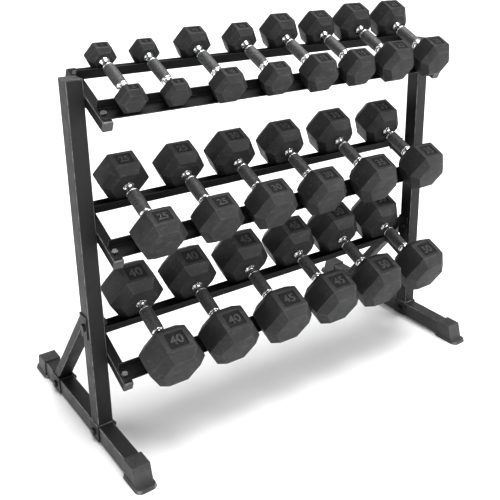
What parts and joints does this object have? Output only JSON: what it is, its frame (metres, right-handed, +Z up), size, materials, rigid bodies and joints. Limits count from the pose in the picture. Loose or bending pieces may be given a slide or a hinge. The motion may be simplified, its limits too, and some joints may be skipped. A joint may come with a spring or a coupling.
{
  "type": "dumbbell rack",
  "caption": "Three-tier steel rack with sloping angle-rail shelves on two braced side frames, loaded with hexagonal rubber-coated dumbbells that lift off.",
  "frame": {"origin": "on the floor, at the centre of the rectangle that the two feet cover", "axes": "+X along the rails to the right as seen from the front, -Y to the front, +Z up"},
  "size_m": [1.134, 0.682, 1.0401],
  "materials": {
    "frame_paint": "satin",
    "black_plastic": "matte",
    "black_fasteners": "satin",
    "zinc_fasteners": "satin",
    "head_coat": "matte",
    "handle_steel": "satin"
  },
  "bodies": {
    "rack": {"arm_plugs": "black_plastic", "bottom_back_rail": "frame_paint", "bottom_front_rail": "frame_paint", "brace_brackets": "frame_paint", "foot_caps": "black_plastic", "foot_saddles": "frame_paint", "frame_bolts": "black_fasteners", "left_brace": "frame_paint", "left_foot_beam": "frame_paint", "left_upright": "frame_paint", "middle_back_rail": "frame_paint", "middle_front_rail": "frame_paint", "rail_bolts": "zinc_fasteners", "right_brace": "frame_paint", "right_foot_beam": "frame_paint", "right_upright": "frame_paint", "top_back_rail": "frame_paint", "top_front_rail": "frame_paint", "tray_arms": "frame_paint", "upright_caps": "black_plastic"},
    "bottom_1_dumbbell_40": {"bottom_1_dumbbell_40_heads": "head_coat", "bottom_1_dumbbell_40_handle": "handle_steel"},
    "bottom_2_dumbbell_40": {"bottom_2_dumbbell_40_heads": "head_coat", "bottom_2_dumbbell_40_handle": "handle_steel"},
    "bottom_3_dumbbell_45": {"bottom_3_dumbbell_45_heads": "head_coat", "bottom_3_dumbbell_45_handle": "handle_steel"},
    "bottom_4_dumbbell_45": {"bottom_4_dumbbell_45_heads": "head_coat", "bottom_4_dumbbell_45_handle": "handle_steel"},
    "bottom_5_dumbbell_50": {"bottom_5_dumbbell_50_heads": "head_coat", "bottom_5_dumbbell_50_handle": "handle_steel"},
    "bottom_6_dumbbell_50": {"bottom_6_dumbbell_50_heads": "head_coat", "bottom_6_dumbbell_50_handle": "handle_steel"},
    "middle_1_dumbbell_25": {"middle_1_dumbbell_25_heads": "head_coat", "middle_1_dumbbell_25_handle": "handle_steel"},
    "middle_2_dumbbell_25": {"middle_2_dumbbell_25_heads": "head_coat", "middle_2_dumbbell_25_handle": "handle_steel"},
    "middle_3_dumbbell_30": {"middle_3_dumbbell_30_heads": "head_coat", "middle_3_dumbbell_30_handle": "handle_steel"},
    "middle_4_dumbbell_30": {"middle_4_dumbbell_30_heads": "head_coat", "middle_4_dumbbell_30_handle": "handle_steel"},
    "middle_5_dumbbell_35": {"middle_5_dumbbell_35_heads": "head_coat", "middle_5_dumbbell_35_handle": "handle_steel"},
    "middle_6_dumbbell_35": {"middle_6_dumbbell_35_heads": "head_coat", "middle_6_dumbbell_35_handle": "handle_steel"},
    "top_1_dumbbell_5": {"top_1_dumbbell_5_heads": "head_coat", "top_1_dumbbell_5_handle": "handle_steel"},
    "top_2_dumbbell_5": {"top_2_dumbbell_5_heads": "head_coat", "top_2_dumbbell_5_handle": "handle_steel"},
    "top_3_dumbbell_10": {"top_3_dumbbell_10_heads": "head_coat", "top_3_dumbbell_10_handle": "handle_steel"},
    "top_4_dumbbell_10": {"top_4_dumbbell_10_heads": "head_coat", "top_4_dumbbell_10_handle": "handle_steel"},
    "top_5_dumbbell_15": {"top_5_dumbbell_15_heads": "head_coat", "top_5_dumbbell_15_handle": "handle_steel"},
    "top_6_dumbbell_15": {"top_6_dumbbell_15_heads": "head_coat", "top_6_dumbbell_15_handle": "handle_steel"},
    "top_7_dumbbell_20": {"top_7_dumbbell_20_heads": "head_coat", "top_7_dumbbell_20_handle": "handle_steel"},
    "top_8_dumbbell_20": {"top_8_dumbbell_20_heads": "head_coat", "top_8_dumbbell_20_handle": "handle_steel"}
  },
  "joints": [
    {"name": "bottom_1_dumbbell_40_lift", "type": "slide", "parent": "rack", "child": "bottom_1_dumbbell_40", "axis": [0, -0.4226, 0.9063], "range_m": [0, 0.12]},
    {"name": "bottom_2_dumbbell_40_lift", "type": "slide", "parent": "rack", "child": "bottom_2_dumbbell_40", "axis": [0, -0.4226, 0.9063], "range_m": [0, 0.12]},
    {"name": "bottom_3_dumbbell_45_lift", "type": "slide", "parent": "rack", "child": "bottom_3_dumbbell_45", "axis": [0, -0.4226, 0.9063], "range_m": [0, 0.12]},
    {"name": "bottom_4_dumbbell_45_lift", "type": "slide", "parent": "rack", "child": "bottom_4_dumbbell_45", "axis": [0, -0.4226, 0.9063], "range_m": [0, 0.12]},
    {"name": "bottom_5_dumbbell_50_lift", "type": "slide", "parent": "rack", "child": "bottom_5_dumbbell_50", "axis": [0, -0.4226, 0.9063], "range_m": [0, 0.12]},
    {"name": "bottom_6_dumbbell_50_lift", "type": "slide", "parent": "rack", "child": "bottom_6_dumbbell_50", "axis": [0, -0.4226, 0.9063], "range_m": [0, 0.12]},
    {"name": "middle_1_dumbbell_25_lift", "type": "slide", "parent": "rack", "child": "middle_1_dumbbell_25", "axis": [0, -0.4226, 0.9063], "range_m": [0, 0.14]},
    {"name": "middle_2_dumbbell_25_lift", "type": "slide", "parent": "rack", "child": "middle_2_dumbbell_25", "axis": [0, -0.4226, 0.9063], "range_m": [0, 0.14]},
    {"name": "middle_3_dumbbell_30_lift", "type": "slide", "parent": "rack", "child": "middle_3_dumbbell_30", "axis": [0, -0.4226, 0.9063], "range_m": [0, 0.14]},
    {"name": "middle_4_dumbbell_30_lift", "type": "slide", "parent": "rack", "child": "middle_4_dumbbell_30", "axis": [0, -0.4226, 0.9063], "range_m": [0, 0.14]},
    {"name": "middle_5_dumbbell_35_lift", "type": "slide", "parent": "rack", "child": "middle_5_dumbbell_35", "axis": [0, -0.4226, 0.9063], "range_m": [0, 0.14]},
    {"name": "middle_6_dumbbell_35_lift", "type": "slide", "parent": "rack", "child": "middle_6_dumbbell_35", "axis": [0, -0.4226, 0.9063], "range_m": [0, 0.14]},
    {"name": "top_1_dumbbell_5_lift", "type": "slide", "parent": "rack", "child": "top_1_dumbbell_5", "axis": [0, -0.4226, 0.9063], "range_m": [0, 0.15]},
    {"name": "top_2_dumbbell_5_lift", "type": "slide", "parent": "rack", "child": "top_2_dumbbell_5", "axis": [0, -0.4226, 0.9063], "range_m": [0, 0.15]},
    {"name": "top_3_dumbbell_10_lift", "type": "slide", "parent": "rack", "child": "top_3_dumbbell_10", "axis": [0, -0.4226, 0.9063], "range_m": [0, 0.15]},
    {"name": "top_4_dumbbell_10_lift", "type": "slide", "parent": "rack", "child": "top_4_dumbbell_10", "axis": [0, -0.4226, 0.9063], "range_m": [0, 0.15]},
    {"name": "top_5_dumbbell_15_lift", "type": "slide", "parent": "rack", "child": "top_5_dumbbell_15", "axis": [0, -0.4226, 0.9063], "range_m": [0, 0.15]},
    {"name": "top_6_dumbbell_15_lift", "type": "slide", "parent": "rack", "child": "top_6_dumbbell_15", "axis": [0, -0.4226, 0.9063], "range_m": [0, 0.15]},
    {"name": "top_7_dumbbell_20_lift", "type": "slide", "parent": "rack", "child": "top_7_dumbbell_20", "axis": [0, -0.4226, 0.9063], "range_m": [0, 0.15]},
    {"name": "top_8_dumbbell_20_lift", "type": "slide", "parent": "rack", "child": "top_8_dumbbell_20", "axis": [0, -0.4226, 0.9063], "range_m": [0, 0.15]}
  ]
}
